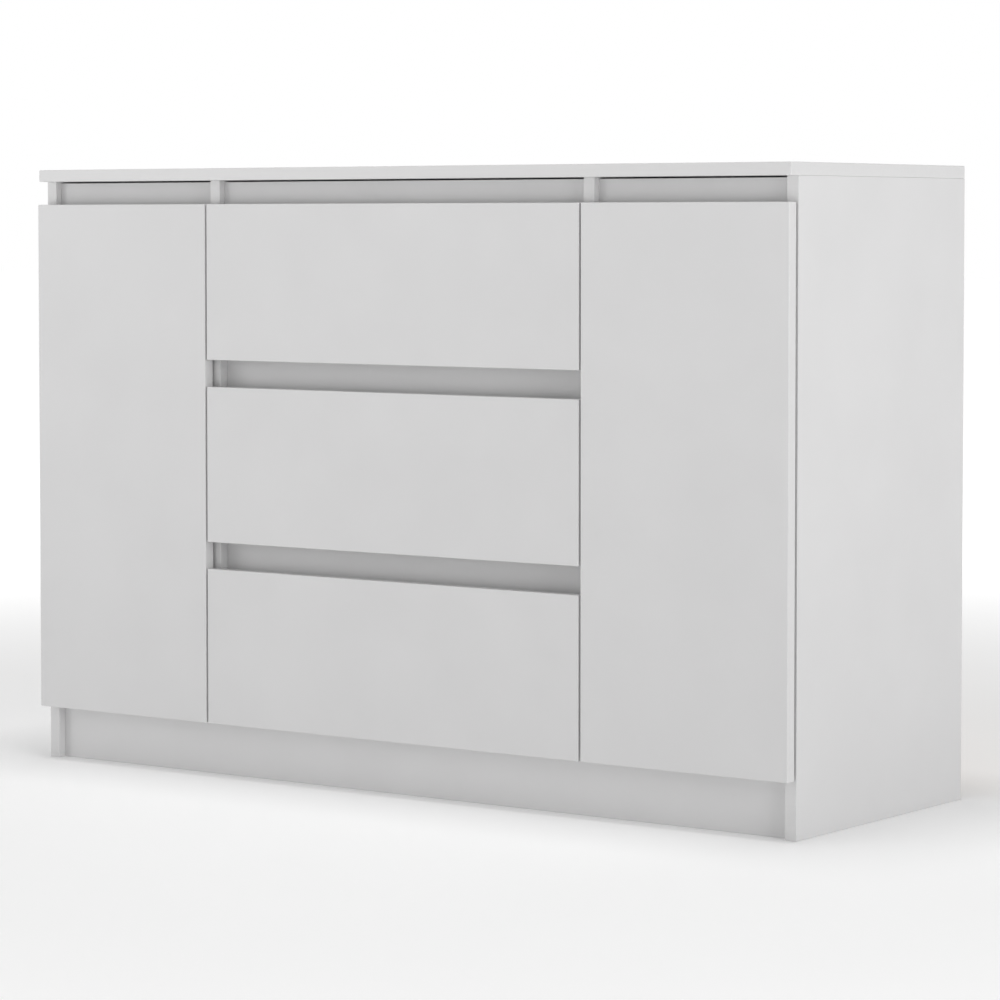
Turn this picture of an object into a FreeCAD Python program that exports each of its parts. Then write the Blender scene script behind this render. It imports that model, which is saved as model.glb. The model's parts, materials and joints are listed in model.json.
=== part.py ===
# Sideboard with a door on each side and three drawers between them, in millimetres.
# X runs along the width, Y from the front to the back and Z up. The origin is on the
# floor, midway along the width and midway between the front faces and the back edges.
# The object is symmetric about X = 0, so most pieces are made on the left and mirrored.
import FreeCAD, Part
import os
from FreeCAD import Vector

# ---- Overall sizes ----
width = 1200.0
height = 805.0
carcass_depth = 400.0  # side panels, front edge to back edge
drawer_bank_width = 600.0  # between the middles of the two dividers
board = 16.0  # thickness of the carcass boards
front_board = 16.0  # thickness of the doors and drawer fronts
drawer_board = 12.0  # thickness of the drawer sides and backs
sheet = 3.0  # thickness of the hardboard backs and drawer bottoms

# ---- Fronts ----
front_gap = 4.0  # air between the fronts and the carcass edges
side_reveal = 0.5  # the doors' outer edges stand this far inside the side panels
between_fronts = 3.0  # vertical gap between a door and the drawer fronts
top_finger_gap = 31.0  # from the fronts' top edges to the underside of the top
drawer_finger_gap = 35.5  # between one drawer front and the next
top_overhang = 17.0  # of the top, in front of the side panels
edge_radius = 1.0  # rounding of the edge bands on the fronts and the top

# ---- Plinth and rails ----
plinth_height = 70.0
plinth_drop = 2.0  # the fronts end this far above the plinth's top
plinth_recess = 12.0
back_plinth_inset = 30.0
rail_height = 60.0
top_rail_gap = 2.0  # slit between the top and the rails under it
top_rail_recess = 10.0
rail_pitch = 13.0  # between neighbouring bolts and dowels in the end of a rail
drawer_rail_recess = 14.0

# ---- Back sheets ----
rebate = 8.0  # how far the back sheets lap over the sides and the top
sheet_clearance = 0.5

# ---- Shelves ----
shelves_per_side = 2
shelf_setback = 30.0
shelf_side_clearance = 1.0
shelf_back_clearance = 2.0
pin_radius = 2.5
pin_in_board = 8.0
pin_under_shelf = 9.0
pin_inset = 45.0

# ---- Board joints: cams, bolts, dowels and nails ----
cam_radius = 7.5
cam_depth = 12.5
cam_distance = 24.0  # from the end of its board
bolt_radius = 3.0
bolt_into_cam = 6.0
thread_radius = 2.5
thread_length = 11.0
dowel_radius = 4.0
dowel_in_end = 20.0
dowel_in_face = 10.0
hole_clearance = 0.1
joint_inset = 60.0  # of the cams, from the carcass's front and back edges
dowel_inset = 100.0
nail_radius = 0.9
nail_head_radius = 2.25
nail_head = 0.8
nail_length = 20.0
nail_rows = 6
nail_edge = 4.0  # from the edge of the sheet
nail_corner = 40.0

# ---- Drawers ----
drawer_count = 3
box_rise = 24.0  # drawer box above the bottom edge of its front
box_headroom = 10.0
box_depth = 350.0
groove_height = 10.0  # bottom groove above the lower edge of the box
groove_depth = 6.0
groove_clearance = 0.1

# ---- Roller runners ----
runner_space = 12.5  # between the divider and the drawer side
runner_metal = 1.2
runner_length = 350.0
runner_inset = 2.0
channel_height = 30.0
channel_width = 10.0
channel_mouth = 45.0  # open stretch where a lifted drawer comes out
flange_height = 22.0  # underside of the drawer's flange above the channel's base
flange_reach = 2.0
roller_radius = 9.6
roller_width = 5.5
roller_inset = 14.0
track_clearance = 0.2
roller_side_gap = 0.3
axle_radius = 2.5
running_clearance = 0.05
axle_head_radius = 4.0
axle_head = 0.6
cabinet_axle_end = 8.8  # from the divider
drawer_axle_end = 3.4

# ---- Screws of the runners and the hinge plates ----
screw_radius = 1.75
screw_head_radius = 3.0
screw_head = 1.4
screw_length = 12.0
screw_side_clearance = 0.15

# ---- Door hinges ----
hinge_inset = 95.0  # from the door's top and bottom edges
pivot_inward = -7.2  # from the side panel's inner face, towards the middle
pivot_forward = 12.2  # from the carcass's front edges, towards the front
pivot_radius = 1.5
press_clearance = 0.02
cup_radius = 17.5
cup_depth = 12.0
cup_wall = 0.8
cup_edge = 3.0  # door's outer edge to the cup
cup_flange = 1.0
cup_flange_radius = 19.0
cup_wing_reach = 26.0
cup_wing_half = 7.0
ear_thickness = 2.0
arm_half_height = 5.0
arm_metal = 2.4
arm_neck = 5.8  # the neck's near face, from the side panel
arm_boss_radius = 2.5
arm_back = 62.0
arm_root = 10.0
ear_gap = 0.4
plate_thickness = 3.0
plate_front = 22.0
plate_length = 36.0
plate_half_height = 14.0
plate_screw_height = 10.0
bumper_radius = 3.0
bumper_clearance = 0.3
bumper_inset = 28.0

# ---- Places worked out from the sizes ----
half_width = width / 2
inner_x = half_width - board
divider_x = drawer_bank_width / 2
divider_inner_x = divider_x - board / 2
divider_outer_x = divider_x + board / 2
back_y = (carcass_depth + front_gap + front_board) / 2
front_y = back_y - carcass_depth
fronts_back_y = front_y - front_gap
fronts_face_y = fronts_back_y - front_board
sheet_y = back_y - sheet
under_top = height - board
fronts_bottom = plinth_height + plinth_drop
fronts_top = under_top - top_finger_gap
drawer_front_height = (
    fronts_top - fronts_bottom - (drawer_count - 1) * drawer_finger_gap
) / drawer_count
floor_z = plinth_height + board
top_rail_bottom = under_top - top_rail_gap - rail_height
top_rail_y = front_y + top_rail_recess
drawer_rail_y = front_y + drawer_rail_recess
door_outer_x = half_width - side_reveal
door_inner_x = divider_x + between_fronts / 2
drawer_front_half = divider_x - between_fronts / 2

# Number 1 is the top drawer.
drawer_front_z = [
    fronts_top - (i + 1) * drawer_front_height - i * drawer_finger_gap for i in range(drawer_count)
]
drawer_rail_z = [z - (drawer_finger_gap + rail_height) / 2 for z in drawer_front_z[:-1]]
ceilings = [top_rail_bottom] + drawer_rail_z
box_height = min(
    ceiling - z - box_rise - box_headroom for ceiling, z in zip(ceilings, drawer_front_z)
)
box_half = divider_inner_x - runner_space
box_back_y = fronts_back_y + box_depth

shelf_gap = (under_top - floor_z - shelves_per_side * board) / (shelves_per_side + 1)
shelf_z = [floor_z + shelf_gap + i * (shelf_gap + board) for i in range(shelves_per_side)]
shelf_front_y = front_y + shelf_setback
shelf_back_y = sheet_y - shelf_back_clearance

cup_x = -door_outer_x + cup_edge + cup_radius
pivot_x = -inner_x + pivot_inward
pivot_y = front_y - pivot_forward
cup_mouth_y = fronts_back_y + cup_flange
cup_floor_y = fronts_back_y - cup_depth + cup_wall
hinge_z = [fronts_bottom + hinge_inset, fronts_top - hinge_inset]

east = Vector(1, 0, 0)
west = Vector(-1, 0, 0)
back = Vector(0, 1, 0)
front = Vector(0, -1, 0)
up = Vector(0, 0, 1)
down = Vector(0, 0, -1)


# ---- Shapes ----
def block(x0, x1, y0, y1, z0, z1):
    """A box between two corners."""
    return Part.makeBox(x1 - x0, y1 - y0, z1 - z0, Vector(x0, y0, z0))


def banded(x0, x1, y0, y1, z0, z1):
    """A board whose edges are rounded by its edge bands."""
    shape = block(x0, x1, y0, y1, z0, z1)
    return shape.makeFillet(edge_radius, shape.Edges)


def mirrored(shape):
    """The same piece on the other side of the sideboard."""
    return shape.mirror(Vector(0, 0, 0), east)


def both_sides(shapes):
    """Pieces on the left, followed by their mirror images."""
    return shapes + [mirrored(shape) for shape in shapes]


def turned(start, direction, sections, growth=0.0):
    """Round sections (radius, length) end to end, or the hole that clears them."""
    parts = []
    place = 0.0
    last = len(sections) - 1
    for i, (radius, length) in enumerate(sections):
        begin = place - growth if i == 0 else place
        end = place + length + (growth if i == last else 0.0)
        base = start + direction * begin
        parts.append(Part.makeCylinder(radius + growth, end - begin, base, direction))
        place += length
    return parts[0].fuse(parts[1:]).removeSplitter() if last else parts[0]


def drilled(shape, holes):
    """The board after the holes that reach it have been drilled."""
    near = [hole for hole in holes if hole.BoundBox.intersect(shape.BoundBox)]
    return shape.cut(near).Solids[0] if near else shape


# ---- Board joints ----
def cam_joint(place, into_face, opening):
    """Bolt, cam and their holes where a board's end meets a face at place.

    into_face points from the board's end into the face, and opening is the side
    of the board on which its cam is turned.
    """
    bolt_start = place - into_face * (cam_distance - cam_radius + bolt_into_cam)
    shank = cam_distance - cam_radius + bolt_into_cam
    bolt = [bolt_start, into_face, [(bolt_radius, shank), (thread_radius, thread_length)]]
    cam = [place - into_face * cam_distance + opening * (board / 2), -opening, [(cam_radius, cam_depth)]]
    bolt_hole = turned(*bolt, growth=hole_clearance)
    return {
        "bolt": turned(*bolt),
        "cam": turned(*cam).cut(bolt_hole).Solids[0],
        "holes": [bolt_hole, turned(*cam, growth=hole_clearance)],
    }


def cam_joints():
    """Every cam joint of the carcass."""
    joints = []
    cam_ys = [front_y + joint_inset, back_y - joint_inset]
    for y in cam_ys:
        joints.append(cam_joint(Vector(-inner_x - board / 2, y, under_top), up, east))
        joints.append(cam_joint(Vector(-divider_x, y, under_top), up, west))
        joints.append(cam_joint(Vector(-inner_x, y, plinth_height + board / 2), west, down))
    y = top_rail_y + board / 2
    z = top_rail_bottom + rail_height / 3
    joints.append(cam_joint(Vector(-inner_x, y, z - rail_pitch), west, back))
    joints.append(cam_joint(Vector(-divider_outer_x, y, z - rail_pitch), east, back))
    joints.append(cam_joint(Vector(-divider_inner_x, y, z), west, back))
    y = drawer_rail_y + board / 2
    for rail_z in drawer_rail_z:
        z = rail_z + rail_height / 3
        joints.append(cam_joint(Vector(-divider_inner_x, y, z), west, back))
    return joints


def dowel_places():
    """(middle of the joint, direction into the face) of each dowel on the left."""
    places = []
    half = board / 2
    for y in [front_y + dowel_inset, back_y - dowel_inset]:
        places.append((Vector(-inner_x - half, y, under_top), up))
        places.append((Vector(-divider_x, y, under_top), up))
        places.append((Vector(-divider_x, y, floor_z), down))
        places.append((Vector(-inner_x, y, plinth_height + half), west))
    y = top_rail_y + half
    z = top_rail_bottom + rail_height / 3 + rail_pitch
    places.append((Vector(-inner_x, y, z), west))
    places.append((Vector(-divider_outer_x, y, z), east))
    places.append((Vector(-divider_inner_x, y, z + rail_pitch), west))
    for rail_z in drawer_rail_z:
        z = rail_z + rail_height / 3 + 2 * rail_pitch
        places.append((Vector(-divider_inner_x, drawer_rail_y + half, z), west))
    for y in [front_y + plinth_recess + half, back_y - back_plinth_inset - half]:
        places.append((Vector(-inner_x, y, plinth_height / 2), west))
        places.append((Vector(-divider_x - joint_inset, y, plinth_height), up))
    return places


def dowel(place, into_face, growth=0.0):
    """A wooden dowel, most of it in the end of its board."""
    sections = [(dowel_radius, dowel_in_end + dowel_in_face)]
    return turned(place - into_face * dowel_in_end, into_face, sections, growth)


def nail_places():
    """Points on the back, along each edge of each back sheet, on the left half."""
    low = plinth_height + board / 2
    high = under_top + rebate / 2
    columns = [-inner_x - rebate / 2, -divider_x - nail_edge, -divider_x + nail_edge]
    step = (under_top - floor_z - 2 * nail_corner) / (nail_rows - 1)
    places = [(x, floor_z + nail_corner + i * step) for x in columns for i in range(nail_rows)]
    rows = [-inner_x + nail_corner, -divider_outer_x - nail_corner]
    rows += [-divider_inner_x + nail_corner, -divider_inner_x / 3]
    places += [(x, z) for x in rows for z in (low, high)]
    return [Vector(x, back_y, z) for x, z in places]


def nail(place, growth=0.0):
    """A back nail with its head flush in the sheet."""
    sections = [(nail_head_radius, nail_head), (nail_radius, nail_length)]
    return turned(place, front, sections, growth)


def pin_places():
    """Points on the compartment's walls where the shelf pins go in, on the left."""
    places = []
    for z in shelf_z:
        for y in (shelf_front_y + pin_inset, shelf_back_y - pin_inset):
            places.append((Vector(-inner_x, y, z - pin_radius), west))
            places.append((Vector(-divider_outer_x, y, z - pin_radius), east))
    return places


def shelf_pin(place, into_wall, growth=0.0):
    """A pin in a wall, which carries one corner of a shelf."""
    sections = [(pin_radius, pin_under_shelf + pin_in_board)]
    return turned(place - into_wall * pin_under_shelf, into_wall, sections, growth)


def screw(place, into_wall, growth=0.0):
    """A flat-headed screw whose head rests at place."""
    sections = [(screw_head_radius, screw_head), (screw_radius, screw_length)]
    return turned(place - into_wall * screw_head, into_wall, sections, growth)


# ---- Roller runners ----
def box_z(number):
    """Lower edge of a drawer box."""
    return drawer_front_z[number] + box_rise


def channel_z(number):
    """Base of a cabinet runner's channel."""
    return box_z(number) - runner_metal


def cabinet_runner(number):
    """Left channel on the divider, with the axle of its front roller."""
    x = -divider_inner_x
    y0 = front_y + runner_inset
    y1 = y0 + runner_length
    z = channel_z(number)
    web = block(x, x + runner_metal, y0, y1, z, z + channel_height)
    base = block(x, x + channel_width, y0, y1, z, z + runner_metal)
    lid_z = z + channel_height
    lid = block(x, x + channel_width, y0 + channel_mouth, y1, lid_z - runner_metal, lid_z)
    axle_start = Vector(x, y0 + roller_inset, cabinet_roller_z(number))
    neck = cabinet_axle_end - axle_head
    axle = turned(axle_start, east, [(axle_radius, neck), (axle_head_radius, axle_head)])
    return web.fuse([base, lid, axle]).removeSplitter()


def cabinet_roller_z(number):
    """Height of the rollers that carry the drawer's flanges."""
    return channel_z(number) + flange_height - track_clearance - roller_radius


def drawer_roller_z(number):
    """Height of the rollers that run in the channels."""
    return channel_z(number) + runner_metal + track_clearance + roller_radius


def drawer_runner(number):
    """Left rail under the edge of the drawer side, with its rear roller's axle."""
    x = -divider_inner_x + runner_space
    y0 = fronts_back_y + runner_inset
    y1 = box_back_y
    z = channel_z(number)
    flange_top = z + flange_height + runner_metal
    lip = block(x - runner_metal, x + drawer_board, y0, y1, z, z + runner_metal)
    plate = block(x - runner_metal, x, y0, y1, z, flange_top)
    flange_x = -divider_inner_x + flange_reach
    flange = block(flange_x, x, y0, y1, flange_top - runner_metal, flange_top)
    axle_start = Vector(x, y1 - roller_inset, drawer_roller_z(number))
    neck = runner_space - drawer_axle_end - axle_head
    axle = turned(axle_start, west, [(axle_radius, neck), (axle_head_radius, axle_head)])
    return lip.fuse([plate, flange, axle]).removeSplitter()


def roller(x0, y, z):
    """A plastic roller of the runners, from x0 inwards."""
    wheel = Part.makeCylinder(roller_radius, roller_width, Vector(x0, y, z), east)
    bore = Part.makeCylinder(axle_radius + running_clearance, roller_width, Vector(x0, y, z), east)
    return wheel.cut(bore)


def cabinet_roller(number):
    """Left front roller, on the cabinet runner's axle."""
    x_end = -divider_inner_x + cabinet_axle_end - axle_head - roller_side_gap
    y = front_y + runner_inset + roller_inset
    return roller(x_end - roller_width, y, cabinet_roller_z(number))


def drawer_roller(number):
    """Left rear roller, on the drawer runner's axle."""
    x_start = -divider_inner_x + drawer_axle_end + axle_head + roller_side_gap
    return roller(x_start, box_back_y - roller_inset, drawer_roller_z(number))


def runner_screw_places():
    """Points on the webs of the left cabinet runners."""
    x = -divider_inner_x + runner_metal
    y0 = front_y + runner_inset + channel_mouth
    y1 = front_y + runner_inset + runner_length - joint_inset
    middle = channel_height / 2
    return [
        (Vector(x, y, channel_z(number) + middle), west)
        for number in range(drawer_count)
        for y in (y0, (y0 + y1) / 2, y1)
    ]


# ---- Door hinges ----
def hinge_arm(z):
    """Left arm: a bar on its plate whose neck reaches round into the door's cup."""
    x = -inner_x
    low = z - arm_half_height
    high = z + arm_half_height
    neck_end = x + arm_neck + arm_metal
    bar = block(x + plate_thickness, neck_end, front_y + arm_root, front_y + arm_back, low, high)
    tip_front = pivot_y - arm_metal / 2
    neck = block(x + arm_neck, neck_end, tip_front, front_y + arm_root, low, high)
    tip = block(pivot_x, neck_end, tip_front, tip_front + arm_metal, low, high)
    tall = 2 * arm_half_height
    boss = Part.makeCylinder(arm_boss_radius, tall, Vector(pivot_x, pivot_y, low), up)
    bore_radius = pivot_radius + press_clearance
    bore = Part.makeCylinder(bore_radius, tall, Vector(pivot_x, pivot_y, low), up)
    return bar.fuse([neck, tip, boss]).removeSplitter().cut(bore).Solids[0]


def hinge_plate(z):
    """Left mounting plate on the inside of the side panel."""
    y = front_y + plate_front
    low = z - plate_half_height
    return block(-inner_x, -inner_x + plate_thickness, y, y + plate_length, low, z + plate_half_height)


def hinge_pin(z):
    """Pin through the arm's boss, which the cup's ears turn on."""
    reach = arm_half_height + ear_gap + ear_thickness
    return Part.makeCylinder(pivot_radius, 2 * reach, Vector(pivot_x, pivot_y, z - reach), up)


def hinge_cup(z):
    """Left cup in the back of the door, with a flange and two ears inside it."""
    bottom_y = fronts_back_y - cup_depth
    shell = Part.makeCylinder(cup_radius, cup_depth, Vector(cup_x, bottom_y, z), back)
    flange = Part.makeCylinder(cup_flange_radius, cup_flange, Vector(cup_x, fronts_back_y, z), back)
    wings = block(
        cup_x - cup_wing_half,
        cup_x + cup_wing_half,
        fronts_back_y,
        cup_mouth_y,
        z - cup_wing_reach,
        z + cup_wing_reach,
    )
    hollow_depth = cup_mouth_y - cup_floor_y
    hollow = Part.makeCylinder(cup_radius - cup_wall, hollow_depth, Vector(cup_x, cup_floor_y, z), back)
    cup = shell.fuse([flange, wings]).removeSplitter().cut(hollow)
    inner = arm_half_height + ear_gap
    for low in (z + inner, z - inner - ear_thickness):
        ear = block(
            pivot_x - arm_boss_radius,
            pivot_x + arm_boss_radius,
            cup_floor_y - cup_wall / 2,
            pivot_y + arm_boss_radius,
            low,
            low + ear_thickness,
        )
        bore_radius = pivot_radius + running_clearance
        bore = Part.makeCylinder(bore_radius, ear_thickness, Vector(pivot_x, pivot_y, low), up)
        cup = cup.fuse(ear.cut(bore)).removeSplitter()
    return cup.Solids[0]


def plate_screw_places():
    """Points on the left mounting plates where the screw heads rest."""
    y = front_y + plate_front + plate_length / 2
    x = -inner_x + plate_thickness
    return [
        (Vector(x, y, z + side * plate_screw_height), west) for z in hinge_z for side in (-1, 1)
    ]


def door_bumper(z):
    """Soft stop between the left divider's front edge and the door."""
    depth = front_gap - bumper_clearance
    x = -door_inner_x - bumper_radius
    return Part.makeCylinder(bumper_radius, depth, Vector(x, front_y, z), front)


# ---- Boards ----
def top_panel():
    """Top, rebated underneath for the back sheets."""
    shape = banded(-half_width, half_width, front_y - top_overhang, back_y, under_top, height)
    lap = inner_x + rebate
    return shape.cut(block(-lap, lap, sheet_y, back_y, under_top, under_top + rebate))


def side_panel():
    """Left side, down to the floor, rebated for the back sheet."""
    shape = block(-half_width, -inner_x, front_y, back_y, 0, under_top)
    cut = block(-inner_x - rebate, -inner_x, sheet_y, back_y, plinth_height, under_top)
    return shape.cut(cut)


def rail(x0, x1, y, z):
    """Upright rail behind a finger gap."""
    return block(x0, x1, y, y + board, z, z + rail_height)


def back_sheet(x0, x1):
    """Hardboard sheet from one side of its bay to the other."""
    low = plinth_height + sheet_clearance
    high = under_top + rebate - sheet_clearance
    return block(x0, x1, sheet_y, back_y, low, high)


def shelf(z):
    """Loose shelf of the left compartment."""
    x0 = -inner_x + shelf_side_clearance
    x1 = -divider_outer_x - shelf_side_clearance
    return block(x0, x1, shelf_front_y, shelf_back_y, z, z + board)


def carcass_boards():
    """Every fixed board by its node name."""
    lap = inner_x + rebate - sheet_clearance
    joint = sheet_clearance / 2
    top_rail_z = top_rail_bottom
    plinth_y = front_y + plinth_recess
    back_plinth_y = back_y - back_plinth_inset - board
    left = {
        "side_panel": side_panel(),
        "divider": block(-divider_outer_x, -divider_inner_x, front_y, sheet_y, floor_z, under_top),
        "top_rail": rail(-inner_x, -divider_outer_x, top_rail_y, top_rail_z),
        "back_panel": back_sheet(-lap, -divider_x - joint),
        "shelf_lower": shelf(shelf_z[0]),
        "shelf_upper": shelf(shelf_z[1]),
    }
    boards = {
        "top_panel": top_panel(),
        "bottom_panel": block(-inner_x, inner_x, front_y, sheet_y, plinth_height, floor_z),
        "plinth_front": block(-inner_x, inner_x, plinth_y, plinth_y + board, 0, plinth_height),
        "plinth_back": block(-inner_x, inner_x, back_plinth_y, back_plinth_y + board, 0, plinth_height),
        "top_rail_centre": rail(-divider_inner_x, divider_inner_x, top_rail_y, top_rail_z),
        "back_panel_centre": back_sheet(-divider_x + joint, divider_x - joint),
    }
    for name, z in zip(("drawer_rail_upper", "drawer_rail_lower"), drawer_rail_z):
        boards[name] = rail(-divider_inner_x, divider_inner_x, drawer_rail_y, z)
    for name, shape in left.items():
        boards[name + "_left"] = shape
        boards[name + "_right"] = mirrored(shape)
    return boards


def door():
    """Left door with a pocket for each hinge cup."""
    shape = banded(-door_outer_x, -door_inner_x, fronts_face_y, fronts_back_y, fronts_bottom, fronts_top)
    pockets = [
        turned(
            Vector(cup_x, fronts_back_y, z), front, [(cup_radius, cup_depth)], hole_clearance
        )
        for z in hinge_z
    ]
    return shape.cut(pockets).Solids[0]


# ---- Drawers ----
def drawer(number):
    """The boards of one drawer by name."""
    low = box_z(number)
    high = low + box_height
    groove_low = low + groove_height
    groove_high = groove_low + sheet + 2 * groove_clearance
    inner = box_half - drawer_board
    groove_half = inner + groove_depth
    front_z = drawer_front_z[number]
    groove_y = fronts_back_y - groove_depth
    groove = block(-groove_half, groove_half, groove_y, box_back_y, groove_low, groove_high)
    face = banded(
        -drawer_front_half,
        drawer_front_half,
        fronts_face_y,
        fronts_back_y,
        front_z,
        front_z + drawer_front_height,
    )
    side = block(-box_half, -inner, fronts_back_y, box_back_y, low, high)
    bottom_half = groove_half - sheet_clearance
    bottom = block(
        -bottom_half,
        bottom_half,
        groove_y + sheet_clearance,
        box_back_y,
        groove_low + groove_clearance,
        groove_high - groove_clearance,
    )
    left_side = side.cut(groove)
    return {
        "front": face.cut(groove),
        "side_left": left_side,
        "side_right": mirrored(left_side),
        "back": block(-inner, inner, box_back_y - drawer_board, box_back_y, groove_high, high),
        "bottom": bottom,
        "runners": Part.makeCompound(both_sides([drawer_runner(number)])),
    }


# ---- All nodes ----
def fittings():
    """Groups of small pieces by node name, and the holes they need."""
    joints = cam_joints()
    dowels = dowel_places()
    nails = nail_places()
    pins = pin_places()
    screws = runner_screw_places() + plate_screw_places()
    groups = {
        "cam_bolts": [joint["bolt"] for joint in joints],
        "cam_locks": [joint["cam"] for joint in joints],
        "dowels": [dowel(*place) for place in dowels],
        "back_nails": [nail(place) for place in nails],
        "shelf_pins": [shelf_pin(*place) for place in pins],
        "hardware_screws": [screw(*place) for place in screws],
    }
    holes = [hole for joint in joints for hole in joint["holes"]]
    holes += [dowel(*place, growth=hole_clearance) for place in dowels]
    holes += [nail(place, growth=hole_clearance) for place in nails]
    holes += [shelf_pin(*place, growth=hole_clearance) for place in pins]
    holes += [screw(*place, growth=screw_side_clearance) for place in screws]
    return groups, both_sides(holes)


def all_nodes():
    """Every piece of the sideboard by its node name."""
    groups, holes = fittings()
    nodes = {name: drilled(shape, holes) for name, shape in carcass_boards().items()}
    numbers = range(drawer_count)
    runners = [drilled(cabinet_runner(number), holes) for number in numbers]
    groups["hinge_plates"] = [drilled(hinge_plate(z), holes) for z in hinge_z]
    groups["hinge_arms"] = [hinge_arm(z) for z in hinge_z]
    groups["hinge_pins"] = [hinge_pin(z) for z in hinge_z]
    bumper_z = (fronts_bottom + bumper_inset, fronts_top - bumper_inset)
    groups["door_bumpers"] = [door_bumper(z) for z in bumper_z]
    for name, shapes in groups.items():
        nodes[name] = Part.makeCompound(both_sides(shapes))
    nodes["cabinet_runners_left"] = Part.makeCompound(runners)
    nodes["cabinet_runners_right"] = mirrored(nodes["cabinet_runners_left"])
    nodes["door_left"] = door()
    nodes["hinge_cups_left"] = Part.makeCompound([hinge_cup(z) for z in hinge_z])
    for name in ("door", "hinge_cups"):
        nodes[name + "_right"] = mirrored(nodes[name + "_left"])
    for number in numbers:
        label = str(number + 1)
        for name, shape in drawer(number).items():
            nodes["drawer_" + label + "_" + name] = shape
        nodes["cabinet_rollers_" + label] = Part.makeCompound(both_sides([cabinet_roller(number)]))
        nodes["drawer_rollers_" + label] = Part.makeCompound(both_sides([drawer_roller(number)]))
    return nodes


os.makedirs("parts", exist_ok=True)
for node, node_shape in all_nodes().items():
    node_shape.exportStep("parts/" + node + ".step")
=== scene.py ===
"""A white sideboard with a door at each end and three drawers between them.

The boards are rebuilt with their edge bands and drilled for their fittings. Metres, in the
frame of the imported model: X along the width, Y from the front to the back, Z up.
"""

import json
import math

import bpy
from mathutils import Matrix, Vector

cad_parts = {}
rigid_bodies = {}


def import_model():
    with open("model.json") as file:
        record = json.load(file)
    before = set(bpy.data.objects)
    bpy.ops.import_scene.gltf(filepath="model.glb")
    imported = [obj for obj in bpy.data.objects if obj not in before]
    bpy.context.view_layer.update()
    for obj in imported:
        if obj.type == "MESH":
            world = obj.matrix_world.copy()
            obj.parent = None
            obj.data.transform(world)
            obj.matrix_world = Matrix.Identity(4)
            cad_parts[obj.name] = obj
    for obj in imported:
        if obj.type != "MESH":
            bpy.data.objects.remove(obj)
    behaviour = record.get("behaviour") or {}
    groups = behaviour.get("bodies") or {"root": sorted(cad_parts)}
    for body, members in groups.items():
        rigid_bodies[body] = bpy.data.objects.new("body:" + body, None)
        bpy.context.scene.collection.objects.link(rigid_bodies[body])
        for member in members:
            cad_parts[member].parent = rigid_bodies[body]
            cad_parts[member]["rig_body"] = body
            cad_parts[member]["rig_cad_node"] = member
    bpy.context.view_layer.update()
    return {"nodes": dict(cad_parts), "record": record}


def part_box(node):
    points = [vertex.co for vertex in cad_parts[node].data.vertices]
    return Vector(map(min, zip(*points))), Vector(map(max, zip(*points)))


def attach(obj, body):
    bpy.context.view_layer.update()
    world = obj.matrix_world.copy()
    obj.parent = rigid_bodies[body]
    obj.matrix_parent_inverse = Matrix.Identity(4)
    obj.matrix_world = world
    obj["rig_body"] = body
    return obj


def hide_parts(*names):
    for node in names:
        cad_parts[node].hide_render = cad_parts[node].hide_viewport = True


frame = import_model()

MM = 0.001
EDGE_RADIUS = 1.0 * MM  # rounding of the bands on the fronts and the top
FINE_RADIUS = 0.4 * MM  # rounding of the bands on the carcass boards
DRAWERS = (1, 2, 3)
SIDES = ("left", "right")
X, Y, Z = range(3)


# ---- Camera ----
CAMERA_PLACE = (2.8837, -3.9157, 0.7316)
CAMERA_TURN = math.radians(36.116)
CAMERA_DIP = math.radians(2.75)
CAMERA_LENS = 133.15
CAMERA_SENSOR = 36
CAMERA_SHIFT = -0.0982
CAMERA_FAR_END = 100


def add_camera():
    """Stands at the right-hand end and looks slightly down along the fronts."""
    bpy.ops.object.camera_add(location=CAMERA_PLACE)
    camera = bpy.context.object
    camera.name = "camera"
    camera.rotation_euler = (math.pi / 2 - CAMERA_DIP, 0, CAMERA_TURN)
    camera.data.lens = CAMERA_LENS
    camera.data.sensor_width = CAMERA_SENSOR
    camera.data.shift_y = CAMERA_SHIFT
    camera.data.clip_end = CAMERA_FAR_END
    bpy.context.scene.camera = camera


# ---- Materials ----
NOISE_LOW = 0.3  # noise amount that gives the low end of a range
NOISE_HIGH = 0.7  # noise amount that gives its high end


def new_material(name, colour, roughness, metallic=0.0):
    """A Principled material and the three things that its maker adds nodes with."""
    material = bpy.data.materials.new(name)
    material.use_nodes = True
    nodes = material.node_tree.nodes
    shader = nodes["Principled BSDF"]
    shader.inputs["Base Color"].default_value = (*colour, 1)
    shader.inputs["Roughness"].default_value = roughness
    shader.inputs["Metallic"].default_value = metallic
    return material, nodes, material.node_tree.links, shader


def noise(nodes, links, scale, detail=3.0, stretch=(1, 1, 1)):
    """Noise on Object coordinates, with scale in cycles per metre."""
    place = nodes.new("ShaderNodeTexCoord")
    mapping = nodes.new("ShaderNodeMapping")
    mapping.inputs["Scale"].default_value = stretch
    texture = nodes.new("ShaderNodeTexNoise")
    texture.inputs["Scale"].default_value = scale
    texture.inputs["Detail"].default_value = detail
    links.new(place.outputs["Object"], mapping.inputs["Vector"])
    links.new(mapping.outputs["Vector"], texture.inputs["Vector"])
    return texture.outputs["Fac"]


def shade_between(nodes, links, amount, socket, dark, light):
    """Colours a socket from dark to light with a noise amount."""
    ramp = nodes.new("ShaderNodeValToRGB")
    ramp.color_ramp.elements[0].position = NOISE_LOW
    ramp.color_ramp.elements[1].position = NOISE_HIGH
    ramp.color_ramp.elements[0].color = (*dark, 1)
    ramp.color_ramp.elements[1].color = (*light, 1)
    links.new(amount, ramp.inputs["Fac"])
    links.new(ramp.outputs["Color"], socket)


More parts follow.
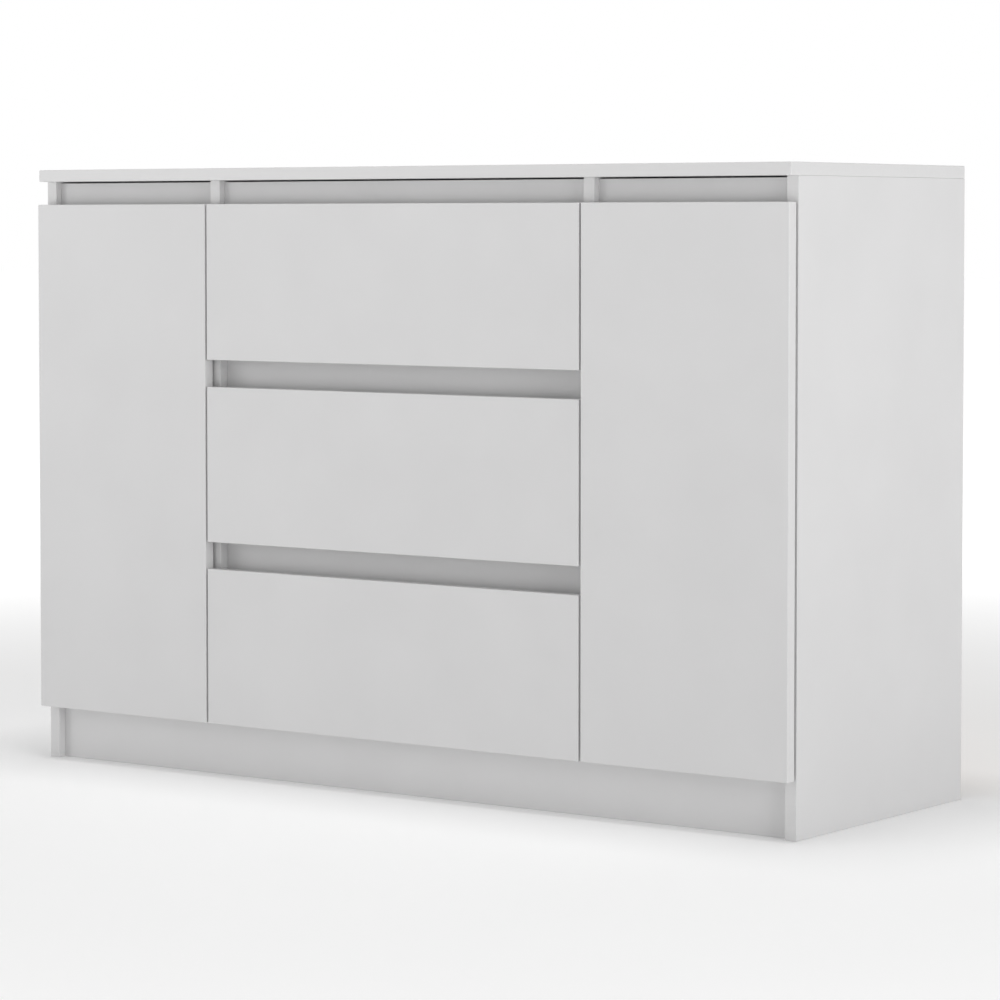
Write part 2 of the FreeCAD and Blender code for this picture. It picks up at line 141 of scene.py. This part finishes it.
def vary(nodes, links, amount, socket, low, high):
    """Drives a socket from low to high with a noise amount."""
    spread = nodes.new("ShaderNodeMapRange")
    spread.inputs["From Min"].default_value = NOISE_LOW
    spread.inputs["From Max"].default_value = NOISE_HIGH
    spread.inputs["To Min"].default_value = low
    spread.inputs["To Max"].default_value = high
    links.new(amount, spread.inputs["Value"])
    links.new(spread.outputs["Result"], socket)


def bump(nodes, links, shader, amount, depth, strength=1.0):
    """Raises the surface by depth metres where amount is high."""
    node = nodes.new("ShaderNodeBump")
    node.inputs["Strength"].default_value = strength
    node.inputs["Distance"].default_value = depth
    links.new(amount, node.inputs["Height"])
    links.new(node.outputs["Normal"], shader.inputs["Normal"])


def laminate():
    """White melamine face with a faint cloudiness and a fine pearl texture."""
    material, nodes, links, shader = new_material(
        "white_laminate", colour=(0.7, 0.698, 0.7), roughness=0.5
    )
    cloud = noise(nodes, links, scale=9.0, detail=2.0)
    base = shader.inputs["Base Color"]
    shade_between(nodes, links, cloud, base, dark=(0.69, 0.687, 0.689), light=(0.71, 0.707, 0.709))
    pearl = noise(nodes, links, scale=900.0, detail=2.0)
    vary(nodes, links, pearl, shader.inputs["Roughness"], low=0.46, high=0.56)
    bump(nodes, links, shader, pearl, depth=0.02 * MM, strength=0.35)
    return material


def edge_band():
    """White plastic band, a little smoother than the faces."""
    material, nodes, links, shader = new_material(
        "white_edge_band", colour=(0.7, 0.698, 0.699), roughness=0.4
    )
    scrape = noise(nodes, links, scale=260.0, detail=3.0, stretch=(0.05, 1, 1))
    base = shader.inputs["Base Color"]
    shade_between(
        nodes, links, scrape, base, dark=(0.691, 0.688, 0.689), light=(0.709, 0.706, 0.707)
    )
    vary(nodes, links, scrape, shader.inputs["Roughness"], low=0.36, high=0.46)
    bump(nodes, links, shader, scrape, depth=0.01 * MM, strength=0.3)
    return material


def raw_chipboard():
    """Pressed chips, where a hole or an unbanded edge shows the core."""
    material, nodes, links, shader = new_material(
        "raw_chipboard", colour=(0.55, 0.42, 0.28), roughness=0.85
    )
    chips = noise(nodes, links, scale=420.0, detail=6.0, stretch=(1, 1, 2))
    base = shader.inputs["Base Color"]
    shade_between(nodes, links, chips, base, dark=(0.3, 0.2, 0.12), light=(0.68, 0.54, 0.37))
    bump(nodes, links, shader, chips, depth=0.2 * MM, strength=0.6)
    return material


def raw_hardboard():
    """The unpainted side of a hardboard sheet, with its felted fibres."""
    material, nodes, links, shader = new_material(
        "raw_hardboard", colour=(0.38, 0.25, 0.15), roughness=0.8
    )
    fibres = noise(nodes, links, scale=240.0, detail=8.0)
    base = shader.inputs["Base Color"]
    shade_between(nodes, links, fibres, base, dark=(0.33, 0.215, 0.13), light=(0.46, 0.32, 0.2))
    bump(nodes, links, shader, fibres, depth=0.05 * MM, strength=0.5)
    return material


def painted_hardboard():
    """The white lacquered side of a hardboard sheet."""
    material, nodes, links, shader = new_material(
        "painted_hardboard", colour=(0.72, 0.718, 0.715), roughness=0.45
    )
    cloud = noise(nodes, links, scale=30.0, detail=4.0)
    base = shader.inputs["Base Color"]
    shade_between(nodes, links, cloud, base, dark=(0.705, 0.703, 0.7), light=(0.735, 0.733, 0.73))
    orange_peel = noise(nodes, links, scale=400.0, detail=2.0)
    bump(nodes, links, shader, orange_peel, depth=0.02 * MM, strength=0.4)
    return material


def zinc_plate():
    """Bright zinc on pressed steel."""
    material, nodes, links, shader = new_material(
        "bright_zinc", colour=(0.72, 0.73, 0.74), roughness=0.34, metallic=1.0
    )
    spangle = noise(nodes, links, scale=350.0, detail=4.0)
    base = shader.inputs["Base Color"]
    shade_between(nodes, links, spangle, base, dark=(0.67, 0.68, 0.69), light=(0.77, 0.78, 0.79))
    vary(nodes, links, spangle, shader.inputs["Roughness"], low=0.28, high=0.42)
    bump(nodes, links, shader, spangle, depth=0.01 * MM, strength=0.4)
    return material


def powder_coat():
    """White powder coat on the steel runners."""
    material, nodes, links, shader = new_material(
        "white_powder_coat", colour=(0.8, 0.8, 0.79), roughness=0.38
    )
    speckle = noise(nodes, links, scale=1400.0, detail=2.0)
    base = shader.inputs["Base Color"]
    shade_between(
        nodes, links, speckle, base, dark=(0.785, 0.785, 0.775), light=(0.82, 0.82, 0.81)
    )
    bump(nodes, links, shader, speckle, depth=0.03 * MM, strength=0.4)
    return material


def nylon():
    """Milky nylon of the rollers."""
    material, nodes, links, shader = new_material(
        "roller_nylon", colour=(0.83, 0.82, 0.78), roughness=0.42
    )
    shader.inputs["Subsurface Weight"].default_value = 0.15
    shader.inputs["Subsurface Radius"].default_value = (2 * MM, 2 * MM, 2 * MM)
    wear = noise(nodes, links, scale=300.0, detail=3.0)
    base = shader.inputs["Base Color"]
    shade_between(nodes, links, wear, base, dark=(0.8, 0.79, 0.745), light=(0.85, 0.84, 0.8))
    vary(nodes, links, wear, shader.inputs["Roughness"], low=0.36, high=0.5)
    return material


def beech():
    """Beech of the dowels, with its grain along the width."""
    material, nodes, links, shader = new_material(
        "beech_dowel", colour=(0.62, 0.43, 0.26), roughness=0.6
    )
    grain = noise(nodes, links, scale=500.0, detail=5.0, stretch=(0.2, 1, 1))
    base = shader.inputs["Base Color"]
    shade_between(nodes, links, grain, base, dark=(0.5, 0.33, 0.19), light=(0.7, 0.51, 0.33))
    bump(nodes, links, shader, grain, depth=0.05 * MM, strength=0.5)
    return material


def soft_stop():
    """Milky polyurethane of the door stops."""
    material, nodes, links, shader = new_material(
        "soft_stop_gel", colour=(0.84, 0.85, 0.84), roughness=0.3
    )
    shader.inputs["Transmission Weight"].default_value = 0.15
    haze = noise(nodes, links, scale=500.0, detail=2.0)
    base = shader.inputs["Base Color"]
    shade_between(nodes, links, haze, base, dark=(0.81, 0.82, 0.81), light=(0.87, 0.88, 0.87))
    return material


LAMINATE = laminate()
EDGE_BAND = edge_band()
CHIPBOARD = raw_chipboard()
RAW_HARDBOARD = raw_hardboard()
PAINTED_HARDBOARD = painted_hardboard()
ZINC = zinc_plate()
POWDER_COAT = powder_coat()
NYLON = nylon()
BEECH = beech()
SOFT_STOP = soft_stop()


# ---- Modelling helpers ----
WELD = 0.005 * MM  # points nearer than this become one
SHARP_EDGE = math.radians(40)  # edges sharper than this are rounded
SHARP_SHADE = math.radians(35)  # edges sharper than this stay sharp in shading
BIG_FACES_FIRST = 100  # weight that makes broad faces set their corners' normals
FACING = 0.99  # least share of a normal along an axis, for a face that looks that way
ROUGHLY_FACING = 0.9


def deselect():
    bpy.ops.object.select_all(action="DESELECT")


def only(piece):
    """Selects one object and makes it the active one."""
    deselect()
    piece.select_set(True)
    bpy.context.view_layer.objects.active = piece


def add_block(name, low, high):
    """A box between two corners, with its place in its mesh."""
    deselect()
    low = Vector(low)
    high = Vector(high)
    bpy.ops.mesh.primitive_cube_add(size=1, location=(low + high) / 2)
    piece = bpy.context.object
    piece.name = name
    piece.scale = high - low
    bpy.ops.object.transform_apply(location=True, rotation=False, scale=True)
    return piece


def round_edges(piece, radius, segments=3):
    """Rounds every edge of a block."""
    only(piece)
    bpy.ops.object.mode_set(mode="EDIT")
    bpy.ops.mesh.select_all(action="SELECT")
    bpy.ops.mesh.bevel(offset=radius, segments=segments, affect="EDGES")
    bpy.ops.object.mode_set(mode="OBJECT")


def merged_copy(node):
    """A closed copy of a CAD node, to cut boards with."""
    only(frame["nodes"][node])
    bpy.ops.object.duplicate()
    tool = bpy.context.object
    tool.parent = None
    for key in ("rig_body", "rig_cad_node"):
        if key in tool:
            del tool[key]
    bpy.ops.object.mode_set(mode="EDIT")
    bpy.ops.mesh.select_all(action="SELECT")
    bpy.ops.mesh.remove_doubles(threshold=WELD)
    bpy.ops.object.mode_set(mode="OBJECT")
    tool.data.materials.clear()
    tool.data.materials.append(CHIPBOARD)
    return tool


def cut(piece, tool):
    """Cuts the tool's shape out of a piece, with bare core on the cut."""
    only(piece)
    modifier = piece.modifiers.new("cut", "BOOLEAN")
    modifier.operation = "DIFFERENCE"
    modifier.solver = "EXACT"
    modifier.material_mode = "TRANSFER"
    modifier.object = tool
    bpy.ops.object.modifier_apply(modifier=modifier.name)


def islands(piece):
    """Parts a mesh into its loose solids, one object each."""
    only(piece)
    bpy.ops.object.mode_set(mode="EDIT")
    bpy.ops.mesh.select_all(action="SELECT")
    bpy.ops.mesh.separate(type="LOOSE")
    bpy.ops.object.mode_set(mode="OBJECT")
    return list(bpy.context.selected_objects)


def joined(pieces, name):
    """One object made of several, with the first one's materials."""
    deselect()
    for piece in pieces:
        piece.select_set(True)
    bpy.context.view_layer.objects.active = pieces[0]
    if len(pieces) > 1:
        bpy.ops.object.join()
    piece = bpy.context.object
    piece.name = name
    return piece


def corners(piece):
    """Lowest and highest corner of a piece whose place is in its mesh."""
    points = [vertex.co for vertex in piece.data.vertices]
    low = Vector(min(point[axis] for point in points) for axis in range(3))
    high = Vector(max(point[axis] for point in points) for axis in range(3))
    return low, high


def soften(piece, radius, segments=2):
    """Rounds the sharp edges of a piece and smooths its curved faces."""
    only(piece)
    modifier = piece.modifiers.new("soften", "BEVEL")
    modifier.width = radius
    modifier.segments = segments
    modifier.limit_method = "ANGLE"
    modifier.angle_limit = SHARP_EDGE
    bpy.ops.object.modifier_apply(modifier=modifier.name)
    flatten_faces(piece)


def flatten_faces(piece):
    """Keeps the broad faces flat next to their small roundings and holes."""
    only(piece)
    bpy.ops.object.shade_smooth_by_angle(angle=SHARP_SHADE)
    modifier = piece.modifiers.new("flatten", "WEIGHTED_NORMAL")
    modifier.keep_sharp = True
    modifier.weight = BIG_FACES_FIRST
    bpy.ops.object.modifier_apply(modifier=modifier.name)


def stand_for(piece, node):
    """Shows a finished piece in the place of its CAD node."""
    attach(piece, body_of(node))
    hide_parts(node)


def slot_cutters(place, outward, reach, slot_width, depth):
    """Two crossing blocks, half sunk at place, that cut a screwdriver recess.

    The second block is a little lower, so that the two cuts share no floor.
    """
    cutters = []
    for size in ((2 * reach, slot_width, 2 * depth), (slot_width, 2 * reach, 1.9 * depth)):
        deselect()
        bpy.ops.mesh.primitive_cube_add(size=1, location=place)
        cutter = bpy.context.object
        cutter.scale = size
        cutter.rotation_euler = Vector(outward).to_track_quat("Z", "Y").to_euler()
        bpy.ops.object.transform_apply(location=True, rotation=True, scale=True)
        cutters.append(cutter)
    return cutters


def cut_crosses(piece, cutter_pairs):
    """Cuts a cross recess at each pair of blocks, then closes hairline openings."""
    for blocks in zip(*cutter_pairs):
        cutter = joined(blocks, "recess_cutter")
        cutter.data.materials.append(ZINC)
        cut(piece, cutter)
        discard([cutter])
    close_slits(piece)


def close_slits(piece):
    """Closes the hairline openings that cutting can leave."""
    only(piece)
    bpy.ops.object.mode_set(mode="EDIT")
    bpy.ops.mesh.select_all(action="SELECT")
    bpy.ops.mesh.fill_holes(sides=4)
    bpy.ops.object.mode_set(mode="OBJECT")


def paint_faces(piece, face_axis):
    """Laminate on the two broad faces of a board and a band on the rest."""
    piece.data.materials.append(LAMINATE)
    piece.data.materials.append(EDGE_BAND)
    for polygon in piece.data.polygons:
        polygon.material_index = 0 if abs(polygon.normal[face_axis]) > FACING else 1


def body_of(node):
    """The CAD body that a node belongs to."""
    for body, members in frame["record"]["behaviour"]["bodies"].items():
        if node in members:
            return body
    raise KeyError(node)


# ---- Boards ----
SHEET_RADIUS = 0.2 * MM


def thin_axis(node):
    """The axis along which a board is thinnest."""
    low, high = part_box(node)
    size = high - low
    return min((X, Y, Z), key=lambda axis: size[axis])


def board(node, radius=FINE_RADIUS, tools=()):
    """A banded board in the place of a CAD board, drilled with the tools."""
    low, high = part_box(node)
    piece = add_block(node + "_board", low, high)
    round_edges(piece, radius)
    paint_faces(piece, thin_axis(node))
    for tool in tools:
        cut(piece, tool)
    close_slits(piece)
    flatten_faces(piece)
    stand_for(piece, node)
    return piece


def back_sheet(node):
    """A hardboard sheet, lacquered inside and bare outside."""
    low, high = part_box(node)
    piece = add_block(node + "_sheet", low, high)
    round_edges(piece, SHEET_RADIUS, segments=1)
    piece.data.materials.append(RAW_HARDBOARD)
    piece.data.materials.append(PAINTED_HARDBOARD)
    for polygon in piece.data.polygons:
        polygon.material_index = 1 if polygon.normal.y < -ROUGHLY_FACING else 0
    flatten_faces(piece)
    stand_for(piece, node)
    return piece


def dress(node, material):
    """Gives a CAD node its finish."""
    piece = frame["nodes"][node]
    piece.data.materials.clear()
    piece.data.materials.append(material)


CARCASS_BOARDS = [
    "divider_left",
    "divider_right",
    "bottom_panel",
    "plinth_front",
    "plinth_back",
    "top_rail_left",
    "top_rail_centre",
    "top_rail_right",
    "drawer_rail_upper",
    "drawer_rail_lower",
    "shelf_lower_left",
    "shelf_upper_left",
    "shelf_lower_right",
    "shelf_upper_right",
]
DRILLED_FOR = ["cam_locks", "cam_bolts", "dowels", "shelf_pins", "hardware_screws", "back_nails"]
CUP_RADIUS = 17.6 * MM
CUP_SIDES = 64
CUP_REACH = 26.0 * MM  # from a hinge cup's middle to the end of its wing


def rebate_tool():
    """The recess round the back edges in which the back sheets lie."""
    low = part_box("back_panel_left")[0]
    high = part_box("back_panel_right")[1]
    low.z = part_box("bottom_panel")[0].z
    high.y += MM
    tool = add_block("rebate_tool", low, high)
    tool.data.materials.append(CHIPBOARD)
    return tool


def cup_places(side):
    """Middles of a door's two hinge cups, on the back of the door."""
    low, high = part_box("hinge_cups_" + side)
    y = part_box("door_" + side)[1].y
    x = (low.x + high.x) / 2
    return [Vector((x, y, low.z + CUP_REACH)), Vector((x, y, high.z - CUP_REACH))]


def cup_pockets(side):
    """Round tools that bore a door for its two hinge cups."""
    tools = []
    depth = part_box("door_" + side)[1].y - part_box("hinge_cups_" + side)[0].y
    for place in cup_places(side):
        deselect()
        bpy.ops.mesh.primitive_cylinder_add(
            vertices=CUP_SIDES,
            radius=CUP_RADIUS,
            depth=2 * depth,
            location=place,
            rotation=(math.pi / 2, 0, 0),
        )
        tool = bpy.context.object
        bpy.ops.object.transform_apply(location=True, rotation=True, scale=True)
        tool.data.materials.append(CHIPBOARD)
        tools.append(tool)
    return tools


def discard(tools):
    """Removes cutting tools that have done their work."""
    for tool in tools:
        bpy.data.objects.remove(tool)


def build_boards():
    """Every board of the carcass and of the fronts."""
    fittings = [merged_copy(node) for node in DRILLED_FOR]
    rebate = rebate_tool()
    for node in CARCASS_BOARDS:
        board(node, tools=fittings)
    for side in SIDES:
        board("side_panel_" + side, tools=fittings + [rebate])
        pockets = cup_pockets(side)
        board("door_" + side, EDGE_RADIUS, tools=pockets)
        discard(pockets)
        back_sheet("back_panel_" + side)
    back_sheet("back_panel_centre")
    board("top_panel", EDGE_RADIUS, tools=fittings + [rebate])
    discard(fittings + [rebate])
    for number in DRAWERS:
        build_drawer_boards(number)


def build_drawer_boards(number):
    """The front, sides, back and bottom of one drawer."""
    name = "drawer_" + str(number) + "_"
    groove = merged_copy(name + "bottom")
    board(name + "front", EDGE_RADIUS, tools=[groove])
    for part in ("side_left", "side_right", "back"):
        board(name + part, tools=[groove])
    discard([groove])
    dress(name + "bottom", PAINTED_HARDBOARD)


# ---- Fittings ----
CROSS_REACH = 3.2 * MM
CROSS_SLOT = 1.3 * MM
CAM_CROSS_DEPTH = 2.5 * MM
SCREW_CROSS_REACH = 1.7 * MM
SCREW_CROSS_SLOT = 0.7 * MM
SCREW_CROSS_DEPTH = 0.9 * MM
CUP_FLANGE = 1.0 * MM  # thickness of a hinge cup's wings on the door
CUP_SCREW_OFFSET = 21.5 * MM  # from the middle of a hinge cup
CUP_SCREW_RADIUS = 3.3 * MM
CUP_SCREW_SIDES = 32
CUP_SCREW_HEAD = 1.4 * MM
CROSSED_EDGE = 0.15 * MM  # rounding of the fasteners with a cross recess
RUNNER_EDGE = 0.2 * MM


def compartment_middle(x):
    """Middle of the door compartment on the same side as x."""
    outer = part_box("side_panel_left")[1].x
    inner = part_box("divider_left")[0].x
    return math.copysign(abs(outer + inner) / 2, x)


def cam_outward(low, high):
    """Direction in which a cam's face looks out of its board."""
    size = high - low
    axis = min((X, Y, Z), key=lambda i: size[i])
    middle = (low.x + high.x) / 2
    if axis == X:
        return Vector((math.copysign(1, compartment_middle(middle) - middle), 0, 0))
    return Vector((0, 1, 0)) if axis == Y else Vector((0, 0, -1))


def screw_outward(low, high):
    """Direction in which a screw's head looks: into its bay of the cabinet."""
    middle = (low.x + high.x) / 2
    divider = abs(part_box("divider_left")[0].x)
    aim = 0 if abs(middle) < divider else compartment_middle(middle)
    return Vector((math.copysign(1, aim - middle), 0, 0))


def face_place(low, high, outward):
    """Middle of the face of a box that looks outward."""
    middle = (low + high) / 2
    half = (high - low) / 2
    return middle + Vector(outward[i] * half[i] for i in range(3))


def cross_recessed(node, outward_of, reach, slot_width, depth):
    """A group of fasteners, each with a cross recess in its head."""
    parts = islands(merged_copy(node))
    cutters = []
    for part in parts:
        low, high = corners(part)
        outward = outward_of(low, high)
        place = face_place(low, high, outward)
        cutters.append(slot_cutters(place, outward, reach, slot_width, depth))
    piece = joined(parts, node + "_cross_recessed")
    piece.data.materials.clear()
    piece.data.materials.append(ZINC)
    cut_crosses(piece, cutters)
    soften(piece, CROSSED_EDGE, segments=1)
    stand_for(piece, node)


def softened(node, material, radius, segments=2):
    """A fitting with the rounded edges that pressing or moulding leaves."""
    piece = merged_copy(node)
    piece.name = node + "_finished"
    piece.data.materials.clear()
    piece.data.materials.append(material)
    soften(piece, radius, segments)
    stand_for(piece, node)


def cup_screw(place):
    """A pan-headed screw in the wing of a hinge cup, with a cross recess."""
    deselect()
    bpy.ops.mesh.primitive_cylinder_add(
        vertices=CUP_SCREW_SIDES, radius=CUP_SCREW_RADIUS, depth=CUP_SCREW_HEAD
    )
    piece = bpy.context.object
    for polygon in piece.data.polygons:
        polygon.select = polygon.normal.z > ROUGHLY_FACING
    bpy.ops.object.mode_set(mode="EDIT")
    bpy.ops.mesh.select_mode(type="FACE")
    bpy.ops.mesh.bevel(offset=CUP_SCREW_HEAD / 2, segments=3, affect="EDGES")
    bpy.ops.object.mode_set(mode="OBJECT")
    piece.rotation_euler = (-math.pi / 2, 0, 0)
    piece.location = place + Vector((0, CUP_SCREW_HEAD / 2, 0))
    bpy.ops.object.transform_apply(location=True, rotation=True, scale=True)
    piece.data.materials.append(ZINC)
    top = place + Vector((0, CUP_SCREW_HEAD, 0))
    cutters = slot_cutters(
        top, (0, 1, 0), SCREW_CROSS_REACH, SCREW_CROSS_SLOT, SCREW_CROSS_DEPTH
    )
    cut_crosses(piece, [cutters])
    bpy.ops.object.shade_smooth_by_angle(angle=SHARP_SHADE)
    return piece


def add_cup_screws(side):
    """Two screws through the wings of each hinge cup of one door."""
    screws = []
    wing_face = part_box("door_" + side)[1].y + CUP_FLANGE
    for place in cup_places(side):
        for direction in (-1, 1):
            spot = Vector((place.x, wing_face, place.z + direction * CUP_SCREW_OFFSET))
            screws.append(cup_screw(spot))
    piece = joined(screws, "hinge_cup_screws_" + side)
    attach(piece, "door_" + side)


def build_fittings():
    """Hinges, runners, rollers, pins, screws and stops in their finishes."""
    cross_recessed("cam_locks", cam_outward, CROSS_REACH, CROSS_SLOT, CAM_CROSS_DEPTH)
    cross_recessed(
        "hardware_screws",
        screw_outward,
        SCREW_CROSS_REACH,
        SCREW_CROSS_SLOT,
        SCREW_CROSS_DEPTH,
    )
    for side in SIDES:
        add_cup_screws(side)
        softened("hinge_cups_" + side, ZINC, radius=0.2 * MM)
        softened("cabinet_runners_" + side, POWDER_COAT, radius=RUNNER_EDGE)
    softened("hinge_plates", ZINC, radius=0.6 * MM)
    softened("hinge_arms", ZINC, radius=0.4 * MM)
    softened("hinge_pins", ZINC, radius=0.3 * MM)
    softened("shelf_pins", ZINC, radius=0.6 * MM)
    softened("door_bumpers", SOFT_STOP, radius=0.8 * MM, segments=3)
    for number in DRAWERS:
        runners = "drawer_" + str(number) + "_runners"
        softened(runners, POWDER_COAT, radius=RUNNER_EDGE)
        for kind in ("cabinet", "drawer"):
            rollers = kind + "_rollers_" + str(number)
            softened(rollers, NYLON, radius=0.4 * MM)
    for node in ("cam_bolts", "back_nails"):
        dress(node, ZINC)
    dress("dowels", BEECH)


# ---- Studio ----
LIT_POINT = Vector((0, 0, 0.4))
LIGHT_DISTANCE = 6.0
LIGHT_SIZE = 2.4
SURROUND = 0.35  # light of the white room
FLOOR_SIZE = 80
FLOOR_DROP = 0.2 * MM  # the floor lies this far under the object
FLOOR_TONE = 0.92
GLOW_RISE_START = 0.6  # metres from the object's middle where the floor's painted glow starts to grow
GLOW_RISE_END = 4.5
GLOW_NEAR = 0.1  # the floor's painted glow near the object, where its rise starts
GLOW_FAR = 0.68
SOFTBOXES = {  # degrees right of the front, degrees up, watts
    "overhead_softbox": (0, 88, 150),
    "front_softbox": (-15, 35, 18),
    "left_softbox": (-45, 8, 49),
    "right_softbox": (75, 8, 106),
}


def add_floor():
    """A wide pale floor with a painted glow that grows far from the object, so that it turns white
    there.
    """
    deselect()
    bpy.ops.mesh.primitive_plane_add(size=FLOOR_SIZE, location=(0, 0, -FLOOR_DROP))
    floor = bpy.context.object
    floor.name = "studio_floor"
    material, nodes, links, shader = new_material(
        "pale_floor", colour=(FLOOR_TONE, FLOOR_TONE, FLOOR_TONE), roughness=0.9
    )
    grain = noise(nodes, links, scale=3.0)
    base = shader.inputs["Base Color"]
    shade_between(
        nodes, links, grain, base, dark=(0.915, 0.915, 0.915), light=(0.925, 0.925, 0.925)
    )
    place = nodes.new("ShaderNodeTexCoord")
    distance = nodes.new("ShaderNodeVectorMath")
    distance.operation = "LENGTH"
    # painted glow: the floor's emission grows with distance from the object, so the far floor
    # shows white
    glow_rise = nodes.new("ShaderNodeMapRange")
    glow_rise.interpolation_type = "SMOOTHERSTEP"
    glow_rise.inputs["From Min"].default_value = GLOW_RISE_START
    glow_rise.inputs["From Max"].default_value = GLOW_RISE_END
    glow_rise.inputs["To Min"].default_value = GLOW_NEAR
    glow_rise.inputs["To Max"].default_value = GLOW_FAR
    shader.inputs["Emission Color"].default_value = (1, 1, 1, 1)
    links.new(place.outputs["Object"], distance.inputs[0])
    links.new(distance.outputs["Value"], glow_rise.inputs["Value"])
    links.new(glow_rise.outputs["Result"], shader.inputs["Emission Strength"])
    floor.data.materials.append(material)


def add_softbox(name, turn, rise, power):
    """A square softbox that looks at the object from a direction in degrees."""
    turn = math.radians(turn)
    rise = math.radians(rise)
    level = math.cos(rise)
    toward = Vector((math.sin(turn) * level, -math.cos(turn) * level, math.sin(rise)))
    bpy.ops.object.light_add(type="AREA", location=LIT_POINT + toward * LIGHT_DISTANCE)
    light = bpy.context.object
    light.name = name
    light.data.shape = "SQUARE"
    light.data.size = LIGHT_SIZE
    light.data.energy = power
    light.rotation_euler = (-toward).to_track_quat("-Z", "Y").to_euler()


def add_room():
    """An even white room, seen brighter than it lights."""
    world = bpy.data.worlds.new("white_room")
    bpy.context.scene.world = world
    world.use_nodes = True
    nodes = world.node_tree.nodes
    links = world.node_tree.links
    lit = nodes["Background"]
    lit.inputs["Color"].default_value = (1, 1, 1, 1)
    lit.inputs["Strength"].default_value = SURROUND
    seen = nodes.new("ShaderNodeBackground")
    seen.inputs["Color"].default_value = (1, 1, 1, 1)
    path = nodes.new("ShaderNodeLightPath")
    mix = nodes.new("ShaderNodeMixShader")
    links.new(path.outputs["Is Camera Ray"], mix.inputs["Fac"])
    links.new(lit.outputs["Background"], mix.inputs[1])
    links.new(seen.outputs["Background"], mix.inputs[2])
    links.new(mix.outputs["Shader"], nodes["World Output"].inputs["Surface"])


def add_lights():
    """The room and its softboxes."""
    add_room()
    for name, (turn, rise, power) in SOFTBOXES.items():
        add_softbox(name, turn, rise, power)
    bpy.context.scene.view_settings.view_transform = "Standard"


add_camera()
build_boards()
build_fittings()
add_floor()
add_lights()
